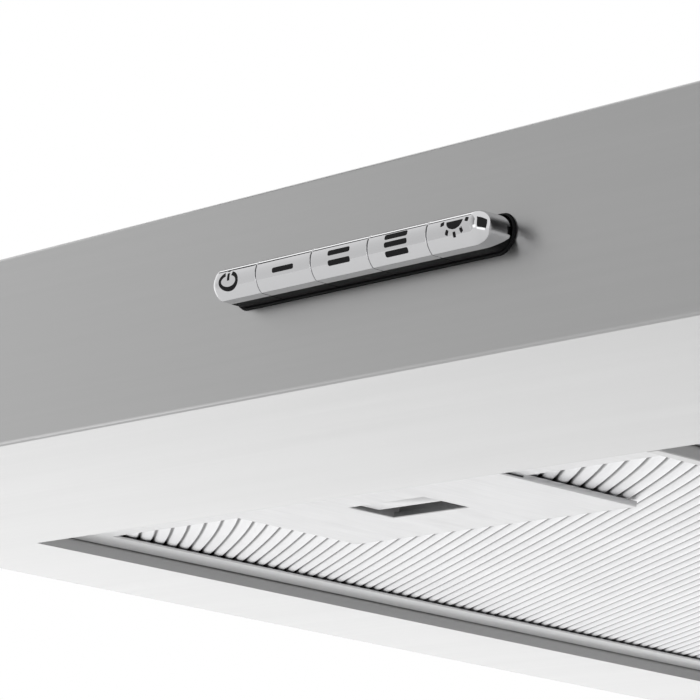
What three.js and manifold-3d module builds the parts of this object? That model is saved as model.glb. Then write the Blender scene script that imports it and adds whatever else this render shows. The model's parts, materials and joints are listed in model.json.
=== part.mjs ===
// Under cabinet range hood, 750 mm wide, in millimetres with +Z up.
// The hood is modelled with x = 0 on its centre line, y = 0 on the front fascia and z = 0 on the underside.
// The exported group then moves the origin to the middle of the face that bears on the cabinet.
import * as THREE from "three";
import { mergeVertices } from "three/addons/utils/BufferGeometryUtils.js";
import Module from "manifold-3d";

const wasm = await Module();
wasm.setup();

// Driving dimensions
const WIDTH = 750;
const DEPTH = 500;
const CANOPY_HEIGHT = 60;
const BODY_HEIGHT = 130;
const HOUSING_FRONT = 185;
const SHEET = 1.2;
const GAP = 0.3;
const FLANGE = 12;

const SIDE_BORDER = 61;
const FRONT_BORDER = 105;
const BACK_BORDER = 40;
const RIM_HEIGHT = 6;
const DIVIDER_HALF = 2.5;

const STRIP_HEIGHT = 31.3;
const BUTTON_PITCH = 24.7;
const STRIP_HOLE_HALF = 60.2;
const STRIP_HOLE_RADIUS = 5.7;
const BUTTON_HALF_HEIGHT = 4.85;
const BUTTON_LIP_BACK = 8;
const BEZEL_PROUD = 0.8;
const BUTTON_NAMES = ["power", "low", "medium", "high", "light"];

const FILTER_GAP = 1.5;
const FILTER_BACK_GAP = 4;
const FRAME_BOTTOM = 4;
const FRAME_TOP = 16;
const FRAME_WIDTH = 17;
const FRAME_RIGHT_WIDTH = 8;
const FRAME_SHEET = 0.9;
const MESH_BOTTOM = 5.2;
const MESH_SHEET = 0.7;
const PLATE_HALF = 70;
const PLATE_BOTTOM = 3;
const PLATE_BACK = 170.5;
const LATCH_SHIFT = 10;
const LATCH_FRONT = 127;
const LATCH_BACK = 145.5;
const LATCH_HALF = 19;
const LATCH_TAB_BACK = 137;

const LAMP_X = 305;
const LAMP_Y = 50;
const LAMP_RADIUS = 24;

const COLLAR_Y = 400;
const COLLAR_RADIUS = 75;
const COLLAR_TOP = 170;
const COLLAR_FLANGE = 14;
const LEDGE_RADIUS = 69;
const DAMPER_Z = 137;
const FLAP_RADIUS = 71.5;
const FLAP_HINGE = 4;

const BLOWER_X = -160;
const BLOWER_Y = 335;
const BLOWER_BOTTOM = 50;
const BLOWER_TOP = 120;
const BLOWER_BACK = 480;
const BLOWER_WALL = 1.5;
const SCROLL_START_RADIUS = 104;
const SCROLL_END_RADIUS = BLOWER_BACK - BLOWER_Y;
const INLET_RADIUS = 78;
const IMPELLER_RADIUS = 94;
const IMPELLER_BOTTOM = 56;
const IMPELLER_TOP = 112;
const BLADE_COUNT = 28;
const MOTOR_RADIUS = 42;
const MOTOR_BOTTOM = 74;

const TERMINAL = { x: 260, half: 62, front: 385, back: 470, low: 80, wall: 2 };
const GLAND_Y = 445;
const GLAND_HOLE = 10;
const GLAND_CUTOUT = 16;

// Places that follow from the driving dimensions
const HALF = WIDTH / 2;
const SHELL_BACK = DEPTH - SHEET - GAP;
const HOUSING_TOP = BODY_HEIGHT - SHEET;
const UNDER_TOP = HOUSING_TOP - GAP;
const OPENING_X = HALF - SIDE_BORDER;
const OPENING_BACK = DEPTH - BACK_BORDER;
const COLLAR_FLANGE_TOP = UNDER_TOP;
const COLLAR_FLANGE_BOTTOM = UNDER_TOP - SHEET;
const LEDGE_BOTTOM = DAMPER_Z - 3.2;
const MOTOR_TOP = BLOWER_TOP - BLOWER_WALL - GAP;
const FILTER_FRONT = FRONT_BORDER + FILTER_GAP + 0.5;
const FILTER_BACK = OPENING_BACK - FILTER_BACK_GAP;
const REAR_MESH_BOTTOM = FRAME_TOP - FRAME_SHEET - GAP - MESH_SHEET;
const POCKET = { half: LATCH_HALF + 2, front: FILTER_FRONT + FRAME_WIDTH + GAP, back: 149, top: 13.6 };
const BOLT = { half: 7.5, slotHalf: 8, bottom: 8.6, top: 11, slotBottom: 8.3, slotTop: 11.3 };

const onCircle = (x, y, radius, angles) =>
  angles.map((degrees) => {
    const angle = THREE.MathUtils.degToRad(degrees);
    return [x + radius * Math.cos(angle), y + radius * Math.sin(angle)];
  });
const HOUSING_SCREWS = [-300, 0, 300].map((x) => [x, HOUSING_FRONT - FLANGE / 2]);
const COLLAR_SCREWS = onCircle(0, COLLAR_Y, COLLAR_RADIUS + 8, [45, 135, 225, 315]);
const MOTOR_SCREWS = onCircle(BLOWER_X, BLOWER_Y, 54, [30, 150, 270]);
const KEYHOLES = [-320, 320].flatMap((x) => [215, 465].map((y) => [x, y]));
const CARRIER_SCREW_X = 68.5;

const finish = (color, roughness, metalness) =>
  new THREE.MeshStandardMaterial({ color, roughness, metalness });
const STAINLESS = finish(0xa0a0a0, 0.35, 1.0);
const GALVANISED = finish(0x9aa0a4, 0.5, 1.0);
const ALUMINIUM = finish(0xc4c4c6, 0.4, 1.0);
const CHROME = finish(0xd8d8da, 0.08, 1.0);
const BLACK_PLASTIC = finish(0x161616, 0.5, 0.0);
const WHITE_PLASTIC = finish(0xe8e8e4, 0.5, 0.0);
const CIRCUIT_BOARD = finish(0x1f5a35, 0.6, 0.0);
const DARK_PAINT = finish(0x303236, 0.5, 0.2);
const FROSTED = finish(0xf2f2ee, 0.3, 0.0);
const ZINC = finish(0xb8bcc0, 0.35, 1.0);

const parts = new THREE.Group();

// Solids ------------------------------------------------------------------

// A closed three.js geometry as a solid that can be joined and cut.
function solid(geometry) {
  const bare = geometry.index ? geometry.toNonIndexed() : geometry.clone();
  bare.deleteAttribute("normal");
  bare.deleteAttribute("uv");
  const merged = mergeVertices(bare, 1e-4);
  return new wasm.Manifold(
    new wasm.Mesh({
      numProp: 3,
      vertProperties: merged.attributes.position.array,
      triVerts: new Uint32Array(merged.index.array),
    }),
  );
}

// A solid as the geometry of one mesh.
function geometryOf(manifold) {
  const mesh = manifold.getMesh();
  const stride = mesh.numProp;
  const points = new Float32Array(mesh.numVert * 3);
  for (let i = 0; i < mesh.numVert; i++)
    points.set(mesh.vertProperties.subarray(i * stride, i * stride + 3), i * 3);
  const geometry = new THREE.BufferGeometry();
  geometry.setAttribute("position", new THREE.BufferAttribute(points, 3));
  geometry.setIndex(new THREE.BufferAttribute(mesh.triVerts, 1));
  geometry.computeVertexNormals();
  return geometry;
}

function addPart(name, material, manifold) {
  const mesh = new THREE.Mesh(geometryOf(manifold), material);
  mesh.name = name;
  parts.add(mesh);
}

const union = (first, ...rest) => rest.reduce((a, b) => a.add(b), first);
const cut = (first, ...rest) => rest.reduce((a, b) => a.subtract(b), first);

// A block between two corners.
function block(x0, x1, y0, y1, z0, z1) {
  const box = new THREE.BoxGeometry(x1 - x0, y1 - y0, z1 - z0);
  return solid(box.translate((x0 + x1) / 2, (y0 + y1) / 2, (z0 + z1) / 2));
}

// The same upright strip along the left and the right edge of the hood.
const sideStrips = (width, y0, y1, z0, z1) => [
  block(-HALF, -HALF + width, y0, y1, z0, z1),
  block(HALF - width, HALF, y0, y1, z0, z1),
];

// An upright round bar.
function upright(x, y, z0, z1, radius, segments = 32) {
  const bar = new THREE.CylinderGeometry(radius, radius, z1 - z0, segments);
  return solid(bar.rotateX(Math.PI / 2).translate(x, y, (z0 + z1) / 2));
}

// A round bar along x.
function crosswise(x0, x1, y, z, radius, segments = 16) {
  const bar = new THREE.CylinderGeometry(radius, radius, x1 - x0, segments);
  return solid(bar.rotateZ(Math.PI / 2).translate((x0 + x1) / 2, y, z));
}

// A round bar along y.
function lengthwise(x, y0, y1, z, radius, segments = 16) {
  const bar = new THREE.CylinderGeometry(radius, radius, y1 - y0, segments);
  return solid(bar.translate(x, (y0 + y1) / 2, z));
}

// A body of revolution about an upright axis, from a closed profile of [radius, z] pairs.
function turned(x, y, profile, segments = 48) {
  const points = profile.map(([r, z]) => new THREE.Vector2(r, z));
  if (profile.every(([r]) => r > 0)) points.push(points[0].clone());
  const lathe = new THREE.LatheGeometry(points, segments);
  return solid(lathe.rotateX(Math.PI / 2).translate(x, y, 0));
}

// An outline in plan, raised from z0 to z1.
function raised(outline, z0, z1) {
  const shape = new THREE.Shape(outline.map(([x, y]) => new THREE.Vector2(x, y)));
  const bulk = new THREE.ExtrudeGeometry(shape, { depth: z1 - z0, bevelEnabled: false });
  return solid(bulk.translate(0, 0, z0));
}

// A pill outline seen from the front, centred on the button strip, between two depths.
function pill(halfLength, radius, y0, y1) {
  const straight = halfLength - radius;
  const shape = new THREE.Shape();
  shape.absarc(straight, 0, radius, -Math.PI / 2, Math.PI / 2, false);
  shape.absarc(-straight, 0, radius, Math.PI / 2, (3 * Math.PI) / 2, false);
  const bulk = new THREE.ExtrudeGeometry(shape, {
    depth: y1 - y0,
    bevelEnabled: false,
    curveSegments: 12,
  });
  return solid(bulk.rotateX(Math.PI / 2).translate(0, y1, STRIP_HEIGHT));
}

// A pan head screw on the given seat. Its shank goes down if way is -1 and up if way is 1.
function uprightScrew(x, y, seat, length, way) {
  const headFar = seat - way * 2.2;
  const shankFar = seat + way * length;
  const shankNear = seat - way;
  const head = upright(x, y, Math.min(seat, headFar), Math.max(seat, headFar), 3.2, 12);
  const shank = upright(x, y, Math.min(shankNear, shankFar), Math.max(shankNear, shankFar), 1.6, 10);
  return union(head, shank);
}

// Clearance holes for upright screws.
const screwHoles = (places, z0, z1) => places.map(([x, y]) => upright(x, y, z0, z1, 2, 12));

// Canopy --------------------------------------------------------------------

function canopyShell() {
  const top = CANOPY_HEIGHT;
  const fascia = block(-HALF, HALF, 0, SHEET, 0, top);
  const floor = block(-HALF, HALF, 0, SHELL_BACK, 0, SHEET);
  const sides = sideStrips(SHEET, 0, SHELL_BACK, 0, top);
  const sideFlanges = sideStrips(FLANGE, 0, SHELL_BACK, top - SHEET, top);
  const frontFlange = block(-HALF, HALF, 0, FLANGE, top - SHEET, top);
  const rim = block(-OPENING_X - SHEET, OPENING_X + SHEET, FRONT_BORDER - SHEET,
    OPENING_BACK + SHEET, 0, RIM_HEIGHT);
  const opening = block(-OPENING_X, OPENING_X, FRONT_BORDER, OPENING_BACK, -1, RIM_HEIGHT + 1);
  const lampHoles = [-LAMP_X, LAMP_X].map((x) => upright(x, LAMP_Y, -1, SHEET + 1, LAMP_RADIUS + 1, 40));
  const stripHole = pill(STRIP_HOLE_HALF, STRIP_HOLE_RADIUS, -1, SHEET + 1);
  const folded = union(fascia, floor, ...sides, ...sideFlanges, frontFlange, rim);
  return cut(folded, opening, ...lampHoles, stripHole);
}

function topDeck() {
  const inset = SHEET + GAP;
  const top = CANOPY_HEIGHT - inset;
  const back = HOUSING_FRONT + 14;
  const deck = block(-HALF + inset, HALF - inset, inset, back, top - SHEET, top);
  return cut(deck, ...screwHoles(HOUSING_SCREWS, top - 3, top + 1));
}

// A web between the two filters, hung from the rim by a lug at each end. The lugs stop
// short of the filters, so that both filters can swing down past them.
function filterDivider() {
  const lugBottom = RIM_HEIGHT + GAP;
  const reach = 7;
  const web = block(-DIVIDER_HALF, DIVIDER_HALF, FRONT_BORDER + GAP, OPENING_BACK - GAP, 0, FRAME_TOP + 1);
  const lugs = [
    [FRONT_BORDER - reach, FILTER_FRONT - 0.5],
    [FILTER_BACK + 1.5, OPENING_BACK + reach],
  ].map(([y0, y1]) => block(-FLANGE, FLANGE, y0, y1, lugBottom, lugBottom + SHEET));
  return union(web, ...lugs);
}

function backPanel() {
  return block(-HALF, HALF, DEPTH - SHEET, DEPTH, 0, UNDER_TOP);
}

// Housing that bolts to the cabinet -------------------------------------------

// A hole that passes a screw's head, with a slot behind it for the shank.
function keyhole([x, y]) {
  const headRadius = 6;
  const slotHalf = 3;
  const slotLength = 12;
  const low = HOUSING_TOP - 1;
  const high = BODY_HEIGHT + 1;
  const slot = block(x - slotHalf, x + slotHalf, y, y + slotLength, low, high);
  return union(upright(x, y, low, high, headRadius, 20), slot);
}

function housingShell() {
  const base = CANOPY_HEIGHT + GAP;
  const deckTop = CANOPY_HEIGHT - SHEET;
  const innerX = HALF - SHEET - FLANGE;
  const wallBack = HOUSING_FRONT + SHEET;
  const front = block(-HALF, HALF, HOUSING_FRONT, wallBack, base, BODY_HEIGHT);
  const apron = block(-innerX, innerX, HOUSING_FRONT, wallBack, deckTop, base + SHEET);
  const frontFlange = block(-innerX, innerX, HOUSING_FRONT - FLANGE, wallBack, deckTop, deckTop + SHEET);
  const sides = sideStrips(SHEET, HOUSING_FRONT, SHELL_BACK, base, BODY_HEIGHT);
  const sideFlanges = sideStrips(FLANGE, HOUSING_FRONT, SHELL_BACK, base, base + SHEET);
  const top = block(-HALF, HALF, HOUSING_FRONT, DEPTH, HOUSING_TOP, BODY_HEIGHT);
  const folded = union(front, apron, frontFlange, ...sides, ...sideFlanges, top);
  const low = HOUSING_TOP - 1;
  const high = BODY_HEIGHT + 1;
  return cut(
    folded,
    upright(0, COLLAR_Y, low, high, COLLAR_RADIUS + GAP, 48),
    upright(TERMINAL.x, GLAND_Y, low, high, GLAND_CUTOUT, 24),
    ...KEYHOLES.map(keyhole),
    ...screwHoles(HOUSING_SCREWS, deckTop - 1, deckTop + 3),
    ...screwHoles(COLLAR_SCREWS, low, high),
  );
}

// Duct collar and its back-draught damper ----------------------------------------

// The collar rises through the housing's top, and its flange is screwed on from inside.
function ductCollar() {
  const inner = COLLAR_RADIUS - SHEET;
  const rimRadius = COLLAR_RADIUS + COLLAR_FLANGE;
  const ring = turned(0, COLLAR_Y, [
    [inner, COLLAR_FLANGE_BOTTOM],
    [rimRadius, COLLAR_FLANGE_BOTTOM],
    [rimRadius, COLLAR_FLANGE_TOP],
    [COLLAR_RADIUS, COLLAR_FLANGE_TOP],
    [COLLAR_RADIUS, COLLAR_TOP],
    [inner, COLLAR_TOP],
    [inner, LEDGE_BOTTOM + SHEET],
    [LEDGE_RADIUS, LEDGE_BOTTOM + SHEET],
    [LEDGE_RADIUS, LEDGE_BOTTOM],
    [inner, LEDGE_BOTTOM],
  ]);
  return cut(ring, ...screwHoles(COLLAR_SCREWS, COLLAR_FLANGE_BOTTOM - 1, COLLAR_FLANGE_TOP + 1));
}

// A strap under the collar's ledge, with an upright rib between the two hinge rods.
function damperCrossbar() {
  const strapHalf = COLLAR_RADIUS - 2;
  const ribHalf = LEDGE_RADIUS - 0.5;
  const top = LEDGE_BOTTOM - GAP;
  const strap = block(-strapHalf, strapHalf, COLLAR_Y - 8, COLLAR_Y + 8, top - SHEET, top);
  const rib = block(-ribHalf, ribHalf, COLLAR_Y - 1, COLLAR_Y + 1, top - SHEET, DAMPER_Z + 3);
  return union(strap, rib);
}

// One half-moon flap with its hinge rod. side is -1 for the front flap and 1 for the rear one.
function damperFlap(side) {
  const hingeY = COLLAR_Y + side * FLAP_HINGE;
  const farY = COLLAR_Y + side * (FLAP_RADIUS + 1);
  const disc = upright(0, COLLAR_Y, DAMPER_Z - 0.5, DAMPER_Z + 0.5, FLAP_RADIUS, 48);
  const keep = block(-COLLAR_RADIUS, COLLAR_RADIUS, Math.min(hingeY, farY), Math.max(hingeY, farY),
    DAMPER_Z - 2, DAMPER_Z + 2);
  const rodHalf = LEDGE_RADIUS - 1;
  const rod = crosswise(-rodHalf, rodHalf, hingeY, DAMPER_Z, 1.5, 10);
  return union(disc.intersect(keep), rod);
}

// Blower --------------------------------------------------------------------------

// The scroll's outline in plan, drawn in from the outer wall by inset.
function scrollOutline(inset) {
  const startAngle = -10;
  const sweep = 260;
  const steps = 40;
  const outlet = COLLAR_RADIUS + 4 - inset;
  const channelFront = COLLAR_Y - outlet;
  const points = [];
  for (let i = 0; i <= steps; i++) {
    const share = i / steps;
    const angle = THREE.MathUtils.degToRad(startAngle - sweep * share);
    const radius = SCROLL_START_RADIUS + (SCROLL_END_RADIUS - SCROLL_START_RADIUS) * share - inset;
    points.push([BLOWER_X + radius * Math.cos(angle), BLOWER_Y + radius * Math.sin(angle)]);
  }
  points.push([outlet, BLOWER_BACK - inset]);
  points.push([outlet, channelFront]);
  points.push([BLOWER_X + SCROLL_START_RADIUS - inset, channelFront]);
  return points.reverse();
}

// The lower plate, with the round inlet under the fan wheel.
function blowerBase() {
  const plate = raised(scrollOutline(0), BLOWER_BOTTOM, BLOWER_BOTTOM + BLOWER_WALL);
  return cut(plate, upright(BLOWER_X, BLOWER_Y, BLOWER_BOTTOM - 1, BLOWER_BOTTOM + 3, INLET_RADIUS, 48));
}

// The wall that winds round the fan wheel and the outlet.
function blowerWrapper() {
  const low = BLOWER_BOTTOM + BLOWER_WALL + GAP;
  const high = BLOWER_TOP - BLOWER_WALL - GAP;
  return cut(raised(scrollOutline(0), low, high), raised(scrollOutline(BLOWER_WALL), low - 1, high + 1));
}

// The upper plate carries the motor, and its neck meets the duct collar.
function blowerTop() {
  const neckRadius = COLLAR_RADIUS + 1.5;
  const neckTop = COLLAR_FLANGE_BOTTOM - GAP;
  const plate = raised(scrollOutline(0), BLOWER_TOP - BLOWER_WALL, BLOWER_TOP);
  const neck = upright(0, COLLAR_Y, BLOWER_TOP - BLOWER_WALL, neckTop, neckRadius, 48);
  const outlet = upright(0, COLLAR_Y, BLOWER_TOP - 3, BODY_HEIGHT, COLLAR_RADIUS, 48);
  return cut(union(plate, neck), outlet, ...screwHoles(MOTOR_SCREWS, BLOWER_TOP - 3, BLOWER_TOP + 1));
}

function fanMotor() {
  const flangeRadius = 60;
  const can = turned(BLOWER_X, BLOWER_Y, [
    [0, MOTOR_BOTTOM],
    [10, MOTOR_BOTTOM],
    [10, MOTOR_BOTTOM + 2],
    [MOTOR_RADIUS - 3, MOTOR_BOTTOM + 2],
    [MOTOR_RADIUS, MOTOR_BOTTOM + 5],
    [MOTOR_RADIUS, MOTOR_TOP - 2],
    [flangeRadius, MOTOR_TOP - 2],
    [flangeRadius, MOTOR_TOP],
    [0, MOTOR_TOP],
  ], 36);
  return cut(can, ...screwHoles(MOTOR_SCREWS, MOTOR_TOP - 4, MOTOR_TOP + 1));
}

// Forward-curved wheel: a dished back plate around the motor, blades and an inlet ring.
function impeller() {
  const dish = MOTOR_RADIUS + 5;
  const skin = 1.5;
  const bladeInner = IMPELLER_RADIUS - 14;
  const hub = { radius: 12, bore: 4.2, bottom: 64, top: 67.5 };
  const plate = turned(BLOWER_X, BLOWER_Y, [
    [hub.bore, hub.bottom],
    [hub.radius, hub.bottom],
    [hub.radius, hub.top - skin],
    [dish, hub.top - skin],
    [dish, IMPELLER_TOP - skin],
    [IMPELLER_RADIUS, IMPELLER_TOP - skin],
    [IMPELLER_RADIUS, IMPELLER_TOP],
    [dish - skin, IMPELLER_TOP],
    [dish - skin, hub.top],
    [hub.bore, hub.top],
  ], 40);
  const ring = turned(BLOWER_X, BLOWER_Y, [
    [bladeInner, IMPELLER_BOTTOM],
    [IMPELLER_RADIUS, IMPELLER_BOTTOM],
    [IMPELLER_RADIUS, IMPELLER_BOTTOM + skin],
    [bladeInner, IMPELLER_BOTTOM + skin],
  ], 40);
  const bladeChord = 15.5;
  const bladePitchAngle = 0.5;
  const bladeRadius = (bladeInner + IMPELLER_RADIUS) / 2 - 0.6;
  const blades = [];
  for (let i = 0; i < BLADE_COUNT; i++) {
    const blade = new THREE.BoxGeometry(bladeChord, 0.9, IMPELLER_TOP - IMPELLER_BOTTOM - 1);
    blade.rotateZ(bladePitchAngle).translate(bladeRadius, 0, (IMPELLER_BOTTOM + IMPELLER_TOP) / 2);
    blade.rotateZ((2 * Math.PI * i) / BLADE_COUNT).translate(BLOWER_X, BLOWER_Y, 0);
    blades.push(solid(blade));
  }
  return union(plate, ring, ...blades);
}

function motorShaft() {
  return upright(BLOWER_X, BLOWER_Y, 60, MOTOR_BOTTOM - GAP, 3.9, 16);
}

// The run capacitor and its clip hang from the housing's top, to the right of the blower.
const CAPACITOR = { x0: 120, x1: 175, y: 330, z: 105, radius: 16 };

function motorCapacitor() {
  const { x0, x1, y, z, radius } = CAPACITOR;
  return crosswise(x0, x1, y, z, radius, 24);
}

function capacitorClip() {
  const { x0, x1, y, z, radius } = CAPACITOR;
  const middle = (x0 + x1) / 2;
  const half = 9.5;
  const ring = crosswise(middle - half, middle + half, y, z, radius + 1.5, 24);
  const bore = crosswise(x0, x1, y, z, radius + GAP, 24);
  const stem = block(middle - half, middle + half, y - 4, y + 4, z + radius, UNDER_TOP);
  const foot = block(middle - half, middle + half, y - 18, y + 18, UNDER_TOP - SHEET, UNDER_TOP);
  return union(cut(ring, bore), cut(stem, bore), foot);
}

// Electrics -----------------------------------------------------------------------

function terminalBox() {
  const { x, half, front, back, low, wall } = TERMINAL;
  const inner = half - wall;
  const outside = block(x - half, x + half, front, back, low, UNDER_TOP);
  const inside = block(x - inner, x + inner, front + wall, back - wall, low - 1, UNDER_TOP - wall);
  const glandHole = upright(x, GLAND_Y, UNDER_TOP - 4, UNDER_TOP + 1, GLAND_HOLE, 24);
  return cut(outside, inside, glandHole);
}

function terminalBoxCover() {
  const { x, half, front, back, low, wall } = TERMINAL;
  return block(x - half, x + half, front, back, low - GAP - wall, low - GAP);
}

// The gland stands on the box's roof and rises through a cut-out in the housing's top.
function cableGland() {
  const hexRadius = 13;
  const hexHeight = 7;
  const seat = UNDER_TOP + GAP;
  const domeBase = seat + hexHeight - 0.3;
  const stem = upright(TERMINAL.x, GLAND_Y, 106, seat + hexHeight, GLAND_HOLE - 0.4, 24);
  const hex = new THREE.CylinderGeometry(hexRadius, hexRadius, hexHeight, 6).rotateX(Math.PI / 2);
  hex.translate(TERMINAL.x, GLAND_Y, seat + hexHeight / 2);
  const dome = turned(TERMINAL.x, GLAND_Y, [
    [0, domeBase],
    [hexRadius - 1.5, domeBase],
    [hexRadius - 1.5, domeBase + 4],
    [8, domeBase + 10],
    [0, domeBase + 10],
  ], 24);
  const bore = upright(TERMINAL.x, GLAND_Y, 100, domeBase + 20, 5, 20);
  return cut(union(stem, solid(hex), dome), bore);
}

function glandNut() {
  const height = 5;
  const top = UNDER_TOP - TERMINAL.wall - GAP;
  const nut = new THREE.CylinderGeometry(13, 13, height, 6).rotateX(Math.PI / 2);
  nut.translate(TERMINAL.x, GLAND_Y, top - height / 2);
  return cut(solid(nut), upright(TERMINAL.x, GLAND_Y, top - 10, top + 10, GLAND_HOLE - 0.1, 24));
}

function terminalBlock() {
  const roof = UNDER_TOP - TERMINAL.wall - GAP;
  const base = block(205, 245, 395, 412, 110, roof);
  const posts = [211, 225, 239].map((x) => block(x - 4.5, x + 4.5, 398, 409, 102, 111));
  return union(base, ...posts);
}

function controlBoard() {
  const boardBottom = 118;
  const board = block(256, 316, 392, 424, boardBottom, boardBottom + 1.6);
  const transformer = block(286, 310, 396, 420, 98, boardBottom + 0.5);
  const relays = [262, 274].map((x) => block(x - 4, x + 4, 398, 416, 104, boardBottom + 0.5));
  return union(board, transformer, ...relays);
}

function lampDriver() {
  return block(200, 290, 220, 260, 100, UNDER_TOP);
}

// Button strip ----------------------------------------------------------------------

function stripBezel() {
  const liner = pill(STRIP_HOLE_HALF - 0.2, STRIP_HOLE_RADIUS - 0.2, -BEZEL_PROUD, 2);
  const flange = pill(STRIP_HOLE_HALF + 6, STRIP_HOLE_RADIUS + 4, SHEET + GAP, SHEET + GAP + 1.5);
  const bore = pill(STRIP_HOLE_HALF - 0.65, BUTTON_HALF_HEIGHT + 0.2, -10, 10);
  return cut(union(liner, flange), bore);
}

// A button's side profile as [y, z] pairs about the strip's centre height: the crowned
// face leans down a little and turns over into a flat top and underside.
const BUTTON_PROFILE = [
  [5.2, -BUTTON_HALF_HEIGHT],
  [-8.3, -BUTTON_HALF_HEIGHT],
  [-9.7, -3.4],
  [-10.7, -1.6],
  [-11.2, 0.2],
  [-11.2, 1.4],
  [-10.9, 2.6],
  [-10.2, 3.5],
  [-9.0, 4.25],
  [-7.6, 4.6],
  [5.2, 4.6],
];

function button(index) {
  const pillHalf = STRIP_HOLE_HALF - 0.85;
  const seam = 0.2;
  const left = index === 0 ? -pillHalf : (index - 2.5) * BUTTON_PITCH + seam;
  const right = index === 4 ? pillHalf : (index - 1.5) * BUTTON_PITCH - seam;
  const shape = new THREE.Shape(BUTTON_PROFILE.map(([y, z]) => new THREE.Vector2(y, z)));
  const bar = new THREE.ExtrudeGeometry(shape, { depth: right - left, bevelEnabled: false });
  // The profile's axes become +Y and +Z, and the extrusion runs along +X.
  const turn = new THREE.Matrix4().makeBasis(
    new THREE.Vector3(0, 1, 0),
    new THREE.Vector3(0, 0, 1),
    new THREE.Vector3(1, 0, 0),
  );
  bar.applyMatrix4(turn).translate(left, 0, STRIP_HEIGHT);
  const rounded = pill(pillHalf, BUTTON_HALF_HEIGHT, -20, 10);
  const face = solid(bar).intersect(rounded);
  const lip = pill(STRIP_HOLE_HALF + 0.4, BUTTON_HALF_HEIGHT + 1.4, 5, BUTTON_LIP_BACK)
    .intersect(block(left - (index === 0 ? 5 : 0), right + (index === 4 ? 5 : 0), 4, 9, 0, 60));
  return union(face, lip);
}

const carrierHoles = (y0, y1) =>
  [-CARRIER_SCREW_X, CARRIER_SCREW_X].map((x) => lengthwise(x, y0, y1, STRIP_HEIGHT, 1.9, 12));

function switchCarrier() {
  const body = block(-74, 74, 3.3, 14, 20, 42.6);
  const well = pill(STRIP_HOLE_HALF + 1.2, BUTTON_HALF_HEIGHT + 2, 2, 15);
  return cut(body, well, ...carrierHoles(3, 15));
}

function switchBoard() {
  const board = block(-74, 74, 14.3, 15.9, 21, 41.6);
  const switches = BUTTON_NAMES.map((_, i) => {
    const x = (i - 2) * (BUTTON_PITCH - 1);
    const body = block(x - 3, x + 3, 11.6, 14.4, STRIP_HEIGHT - 3, STRIP_HEIGHT + 3);
    return union(body, lengthwise(x, 10.2, 12, STRIP_HEIGHT, 1.5, 12));
  });
  const plug = block(40, 56, 15.8, 24, 24, 31);
  return cut(union(board, ...switches, plug), ...carrierHoles(14, 17));
}

function carrierScrew(x) {
  const head = lengthwise(x, 16.2, 18.4, STRIP_HEIGHT, 3.2, 12);
  const shank = lengthwise(x, 3.4, 16.3, STRIP_HEIGHT, 1.5, 10);
  return union(head, shank);
}

// Grease filters ----------------------------------------------------------------------

// x extents and centre of the filter on one side of the divider, and the centre of its latch.
function filterSpan(side) {
  const inner = side * (DIVIDER_HALF + FILTER_GAP);
  const outer = side * (OPENING_X - FILTER_GAP);
  const centre = (inner + outer) / 2;
  return { x0: Math.min(inner, outer), x1: Math.max(inner, outer), centre, latch: centre + LATCH_SHIFT };
}

// A channel of folded sheet, open towards the window, with two tongues at the back.
function filterFrame(side) {
  const { x0, x1, centre, latch } = filterSpan(side);
  const outer = block(x0, x1, FILTER_FRONT, FILTER_BACK, FRAME_BOTTOM, FRAME_TOP);
  const window = block(x0 + FRAME_WIDTH, x1 - FRAME_RIGHT_WIDTH, FILTER_FRONT + FRAME_WIDTH,
    FILTER_BACK - FRAME_WIDTH, 0, FRAME_TOP + 5);
  const channel = block(x0 + FRAME_SHEET, x1 - FRAME_SHEET, FILTER_FRONT + FRAME_SHEET,
    FILTER_BACK - FRAME_SHEET, FRAME_BOTTOM + FRAME_SHEET, FRAME_TOP - FRAME_SHEET);
  const tongues = [-90, 90].map((dx) =>
    block(centre + dx - 12, centre + dx + 12, FILTER_BACK - FRAME_SHEET / 2, OPENING_BACK + 6,
      RIM_HEIGHT + GAP, RIM_HEIGHT + GAP + SHEET));
  const boltSlot = block(latch - BOLT.slotHalf, latch + BOLT.slotHalf, FILTER_FRONT - 1,
    FILTER_FRONT + 2, BOLT.slotBottom, BOLT.slotTop);
  return cut(union(cut(outer, window, channel), ...tongues), boltSlot);
}

// One facing of the grease mesh, held in the frame's channel. The lower one is cut away round the latch.
function filterMesh(side, bottom, notched) {
  const { x0, x1, latch } = filterSpan(side);
  const inset = FRAME_SHEET + GAP;
  const sheet = block(x0 + inset, x1 - inset, FILTER_FRONT + inset, FILTER_BACK - inset,
    bottom, bottom + MESH_SHEET);
  const { half, back } = POCKET;
  const notch = block(latch - half - GAP, latch + half + GAP, 0, back + GAP, 0, 20);
  return notched ? cut(sheet, notch) : sheet;
}

// The plate's front edge lies over the frame. Behind it the plate is thicker, and a pocket
// pressed up over the finger recess holds the slider.
function latchPlate(side) {
  const { latch } = filterSpan(side);
  const { half, front, back, top } = POCKET;
  const trayTop = MESH_BOTTOM - GAP;
  const wall = 1.5;
  const lip = block(latch - PLATE_HALF, latch + PLATE_HALF, FILTER_FRONT, PLATE_BACK,
    PLATE_BOTTOM, FRAME_BOTTOM - GAP);
  const tray = block(latch - PLATE_HALF, latch + PLATE_HALF, front, PLATE_BACK, PLATE_BOTTOM, trayTop);
  const pocket = block(latch - half, latch + half, front, back, trayTop - 1, top);
  const hollow = block(latch - LATCH_HALF, latch + LATCH_HALF, front + wall, back - wall,
    trayTop, top - SHEET);
  const recess = block(latch - LATCH_HALF, latch + LATCH_HALF, LATCH_FRONT, LATCH_BACK, 0, trayTop + 1);
  const boltSlot = block(latch - BOLT.slotHalf, latch + BOLT.slotHalf, front - 1, front + wall + 1,
    trayTop, BOLT.slotTop);
  return cut(union(lip, tray, pocket), hollow, recess, boltSlot);
}

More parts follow.
